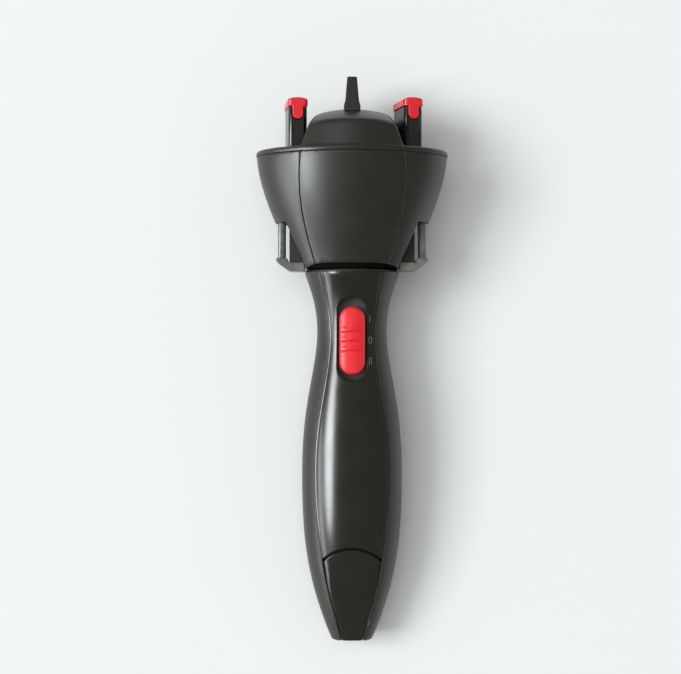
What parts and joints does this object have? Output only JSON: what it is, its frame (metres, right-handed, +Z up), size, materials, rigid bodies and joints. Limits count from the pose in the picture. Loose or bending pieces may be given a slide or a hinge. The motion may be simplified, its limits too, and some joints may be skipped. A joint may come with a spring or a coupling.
{
  "type": "automatic hair braider",
  "caption": "Battery hair braider: tapered handle with slide switch, spinning flared head, sprung levers and two rotating capped hooks beside a central divider.",
  "frame": {"origin": "centre of the bounding box's underside: the braider lies on its back on the floor plane", "axes": "+Y towards the hooks along the floor, +Z up through the switch; the long axis rises 4.55 degrees towards the head because the rim is deeper than the handle"},
  "size_m": [0.0822, 0.2406, 0.0599],
  "materials": {
    "front_gloss": "moulded ABS, polished",
    "side_satin": "moulded ABS, satin",
    "head_satin": "moulded ABS, fine satin grain",
    "inner_black": "moulded ABS, as moulded",
    "lever_black": "moulded ABS, satin",
    "sleeve_black": "moulded ABS, satin",
    "signal_red": "moulded ABS, satin gloss",
    "gear_white": "acetal, as moulded",
    "steel": "turned or stamped, zinc plated",
    "spring_steel": "nickel-plated spring steel",
    "bush_brass": "turned",
    "cell_jacket": "plain shrink film over the can",
    "lead_red_sleeve": "PVC insulation",
    "lead_black_sleeve": "PVC insulation"
  },
  "bodies": {
    "handle": {"front_shell": "front_gloss", "rear_shell": "side_satin", "shell_screws": "steel", "switch_plate": "inner_black", "slide_switch": "steel", "battery_left": "cell_jacket", "battery_right": "cell_jacket", "battery_tray": "inner_black", "contact_lower": "spring_steel", "contact_upper_left": "spring_steel", "contact_upper_right": "spring_steel", "battery_spring_left": "spring_steel", "battery_spring_right": "spring_steel", "motor_can": "steel", "motor_end_cap": "inner_black", "gearbox_housing": "inner_black", "lead_red": "lead_red_sleeve", "lead_black": "lead_black_sleeve", "neck_collar": "inner_black", "neck_ring": "steel", "shaft_bush": "bush_brass"},
    "slider": {"switch_slider": "signal_red"},
    "battery_cover": {"battery_cover": "side_satin"},
    "head": {"head_front_cover": "head_satin", "head_back_cover": "head_satin", "lobe_right": "head_satin", "lobe_left": "head_satin", "head_chassis": "inner_black", "gear_deck": "inner_black", "head_screws": "steel", "head_top_cover": "head_satin", "divider_fin": "head_satin", "spindle_bush_left": "bush_brass", "spindle_bush_right": "bush_brass", "return_spring_left": "spring_steel", "return_spring_right": "spring_steel"},
    "drive": {"drive_shaft": "steel", "sun_gear": "gear_white", "shaft_clip": "steel"},
    "spindle_left": {"spindle_gear_left": "gear_white", "hook_sleeve_left": "sleeve_black"},
    "lever_left": {"wing_left": "lever_black", "lever_block_left": "lever_black", "lever_post_left": "lever_black"},
    "hook_left": {"hook_stem_left": "steel", "hook_tip_left": "signal_red"},
    "spindle_right": {"spindle_gear_right": "gear_white", "hook_sleeve_right": "sleeve_black"},
    "lever_right": {"wing_right": "lever_black", "lever_block_right": "lever_black", "lever_post_right": "lever_black"},
    "hook_right": {"hook_stem_right": "steel", "hook_tip_right": "signal_red"}
  },
  "joints": [
    {"name": "head_spin", "type": "hinge", "parent": "handle", "child": "head", "pos_m": [0, 0.03818, 0.02613], "axis": [0, 0.9968, 0.0794], "continuous": true},
    {"name": "drive_spin", "type": "hinge", "parent": "head", "child": "drive", "pos_m": [0, 0.07197, 0.02882], "axis": [0, 0.9968, 0.0794], "continuous": true},
    {"name": "switch_slide", "type": "slide", "parent": "handle", "child": "slider", "axis": [0, 0.9968, 0.0794], "range_m": [-0.002, 0.002]},
    {"name": "battery_cover_slide", "type": "slide", "parent": "handle", "child": "battery_cover", "axis": [0, -0.9968, -0.0794], "range_m": [0, 0.095]},
    {"name": "spindle_left_spin", "type": "hinge", "parent": "head", "child": "spindle_left", "pos_m": [-0.024, 0.08563, 0.02991], "axis": [0, 0.9968, 0.0794], "continuous": true},
    {"name": "lever_left_lift", "type": "slide", "parent": "head", "child": "lever_left", "axis": [0, 0.9968, 0.0794], "range_m": [0, 0.01], "stiffness_N_per_m": 60, "springref_m": -0.02, "deforming": ["return_spring_left"]},
    {"name": "hook_left_spin", "type": "hinge", "parent": "lever_left", "child": "hook_left", "pos_m": [-0.024, 0.10646, 0.03156], "axis": [0, 0.9968, 0.0794], "continuous": true},
    {"name": "spindle_right_spin", "type": "hinge", "parent": "head", "child": "spindle_right", "pos_m": [0.024, 0.08563, 0.02991], "axis": [0, 0.9968, 0.0794], "continuous": true},
    {"name": "lever_right_lift", "type": "slide", "parent": "head", "child": "lever_right", "axis": [0, 0.9968, 0.0794], "range_m": [0, 0.01], "stiffness_N_per_m": 60, "springref_m": -0.02, "deforming": ["return_spring_right"]},
    {"name": "hook_right_spin", "type": "hinge", "parent": "lever_right", "child": "hook_right", "pos_m": [0.024, 0.10646, 0.03156], "axis": [0, 0.9968, 0.0794], "continuous": true}
  ],
  "couplings": [
    {"joint": "spindle_left_spin", "follows": "drive_spin", "ratio": -2},
    {"joint": "hook_left_spin", "follows": "drive_spin", "ratio": -2},
    {"joint": "spindle_right_spin", "follows": "drive_spin", "ratio": -2},
    {"joint": "hook_right_spin", "follows": "drive_spin", "ratio": -2}
  ]
}
